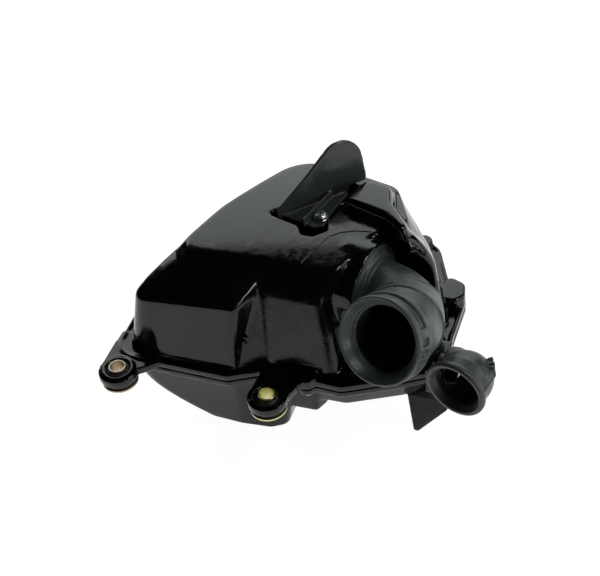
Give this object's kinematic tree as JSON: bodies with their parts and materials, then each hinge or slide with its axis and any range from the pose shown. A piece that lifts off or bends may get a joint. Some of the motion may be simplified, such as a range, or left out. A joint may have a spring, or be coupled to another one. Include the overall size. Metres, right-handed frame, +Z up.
{
  "type": "air filter housing",
  "caption": "Two-part moulded air filter housing with a rubber carburettor elbow, an intake snorkel, a foam element, two fins and two bushed mounting lugs.",
  "frame": {"origin": "middle of the underside of the whole assembly's box", "axes": "+X to the boot's side along the line of the two lug holes, +Y away from the lugs, +Z up, square to the flange"},
  "size_m": [0.2256, 0.1676, 0.137],
  "materials": {
    "black_plastic": "glossy moulded black",
    "guard_plastic": "glossy moulded black",
    "grid_plastic": "moulded black",
    "boot_rubber": "matte dark grey-green",
    "snorkel_rubber": "matte black",
    "grommet_rubber": "matte black",
    "seal_rubber": "matte black",
    "filter_foam": "open-cell oiled foam",
    "bright_steel": "bright zinc plate",
    "plain_steel": "zinc plate",
    "zinc_right": "yellow zinc plate",
    "zinc_left": "tan zinc plate"
  },
  "bodies": {
    "housing_body": {"housing": "black_plastic", "carburettor_boot": "boot_rubber", "boot_ring": "plain_steel", "snorkel": "snorkel_rubber", "splash_guard": "guard_plastic", "guard_washer": "bright_steel", "guard_screw": "bright_steel", "grommet_right": "grommet_rubber", "bush_sleeve_right": "zinc_right", "bush_washer_right": "zinc_right", "grommet_left": "grommet_rubber", "bush_sleeve_left": "zinc_left", "bush_washer_left": "zinc_left"},
    "cover_body": {"cover": "black_plastic", "cover_gasket": "seal_rubber", "filter_foam": "filter_foam", "filter_grid": "grid_plastic", "lower_deflector": "guard_plastic", "deflector_screw_1": "plain_steel", "deflector_screw_2": "plain_steel"},
    "screw_body_1": {"cover_screw_1": "plain_steel"},
    "screw_body_2": {"cover_screw_2": "plain_steel"},
    "screw_body_3": {"cover_screw_3": "plain_steel"},
    "screw_body_4": {"cover_screw_4": "plain_steel"},
    "screw_body_5": {"cover_screw_5": "plain_steel"},
    "screw_body_6": {"cover_screw_6": "plain_steel"},
    "screw_body_7": {"cover_screw_7": "plain_steel"}
  },
  "joints": [
    {"name": "cover_slide", "type": "slide", "parent": "housing_body", "child": "cover_body", "axis": [0, 0, -1], "range_m": [0, 0.06]},
    {"name": "screw_slide_1", "type": "slide", "parent": "cover_body", "child": "screw_body_1", "axis": [0, 0, -1], "range_m": [0, 0.012]},
    {"name": "screw_slide_2", "type": "slide", "parent": "cover_body", "child": "screw_body_2", "axis": [0, 0, -1], "range_m": [0, 0.012]},
    {"name": "screw_slide_3", "type": "slide", "parent": "cover_body", "child": "screw_body_3", "axis": [0, 0, -1], "range_m": [0, 0.012]},
    {"name": "screw_slide_4", "type": "slide", "parent": "cover_body", "child": "screw_body_4", "axis": [0, 0, -1], "range_m": [0, 0.012]},
    {"name": "screw_slide_5", "type": "slide", "parent": "cover_body", "child": "screw_body_5", "axis": [0, 0, -1], "range_m": [0, 0.012]},
    {"name": "screw_slide_6", "type": "slide", "parent": "cover_body", "child": "screw_body_6", "axis": [0, 0, -1], "range_m": [0, 0.012]},
    {"name": "screw_slide_7", "type": "slide", "parent": "cover_body", "child": "screw_body_7", "axis": [0, 0, -1], "range_m": [0, 0.012]}
  ],
  "couplings": [
    {"joint": "screw_slide_2", "follows": "screw_slide_1", "ratio": 1},
    {"joint": "screw_slide_3", "follows": "screw_slide_1", "ratio": 1},
    {"joint": "screw_slide_4", "follows": "screw_slide_1", "ratio": 1},
    {"joint": "screw_slide_5", "follows": "screw_slide_1", "ratio": 1},
    {"joint": "screw_slide_6", "follows": "screw_slide_1", "ratio": 1},
    {"joint": "screw_slide_7", "follows": "screw_slide_1", "ratio": 1}
  ]
}
